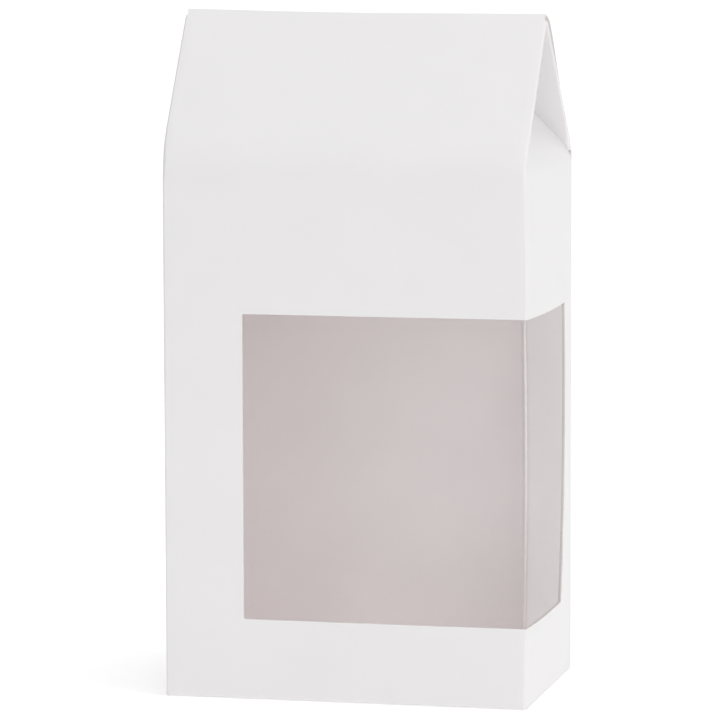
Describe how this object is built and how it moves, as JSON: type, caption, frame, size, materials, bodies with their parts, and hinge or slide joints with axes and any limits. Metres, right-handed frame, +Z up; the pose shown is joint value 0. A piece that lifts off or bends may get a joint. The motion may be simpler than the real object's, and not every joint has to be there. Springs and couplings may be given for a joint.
{
  "type": "gable-top window carton",
  "caption": "Tall white paperboard carton with a sloping gable roof, ends tucked in between the slopes, and a clear film window wrapped round one front corner",
  "frame": {"origin": "middle of the footprint, on the plane the carton stands on", "axes": "+Z up the carton to its ridge, -Y out of the front, +X towards the side the window runs on to"},
  "size_m": [0.12, 0.08, 0.2238],
  "materials": {
    "coated_board": "smooth white clay-coated face, matt",
    "board_inside": "uncoated side, a warmer grey white",
    "clear_film": "thin clear glossy film"
  },
  "bodies": {
    "sleeve": {"front_panel": "coated_board", "right_side_panel": "coated_board", "back_panel": "coated_board", "left_side_panel": "coated_board", "glue_seam_flap": "board_inside", "window_film": "clear_film", "base_outer_flap": "coated_board", "base_inner_flap": "coated_board", "base_left_dust_flap": "board_inside", "base_right_dust_flap": "board_inside"},
    "front_roof": {"front_roof_panel": "coated_board", "front_left_wing": "coated_board", "front_right_wing": "coated_board"},
    "back_roof": {"back_roof_panel": "coated_board", "back_left_wing": "coated_board", "back_right_wing": "coated_board"},
    "closing_flap": {"closing_flap": "coated_board"},
    "right_gusset": {"right_gusset": "coated_board"},
    "left_gusset": {"left_gusset": "coated_board"}
  },
  "joints": [
    {"name": "closing_flap_crease", "type": "hinge", "parent": "front_roof", "child": "closing_flap", "pos_m": [0, -0.006, 0.224], "axis": [1, 0, 0], "range_deg": [0, 165]},
    {"name": "front_eave_crease", "type": "hinge", "parent": "sleeve", "child": "front_roof", "pos_m": [0, -0.04, 0.177], "axis": [1, 0, 0], "range_deg": [0, 35.9]},
    {"name": "back_eave_crease", "type": "hinge", "parent": "sleeve", "child": "back_roof", "pos_m": [0, 0.04, 0.177], "axis": [-1, 0, 0], "range_deg": [0, 29.7]},
    {"name": "right_eave_crease", "type": "hinge", "parent": "sleeve", "child": "right_gusset", "pos_m": [0.06, 0, 0.177], "axis": [0, 1, 0], "range_deg": [0, 35]},
    {"name": "left_eave_crease", "type": "hinge", "parent": "sleeve", "child": "left_gusset", "pos_m": [-0.06, 0, 0.177], "axis": [0, -1, 0], "range_deg": [0, 35]}
  ],
  "couplings": [
    {"joint": "front_eave_crease", "follows": "closing_flap_crease", "ratio": 0.2175},
    {"joint": "back_eave_crease", "follows": "closing_flap_crease", "ratio": 0.18},
    {"joint": "right_eave_crease", "follows": "closing_flap_crease", "ratio": 0.212},
    {"joint": "left_eave_crease", "follows": "closing_flap_crease", "ratio": 0.212}
  ]
}
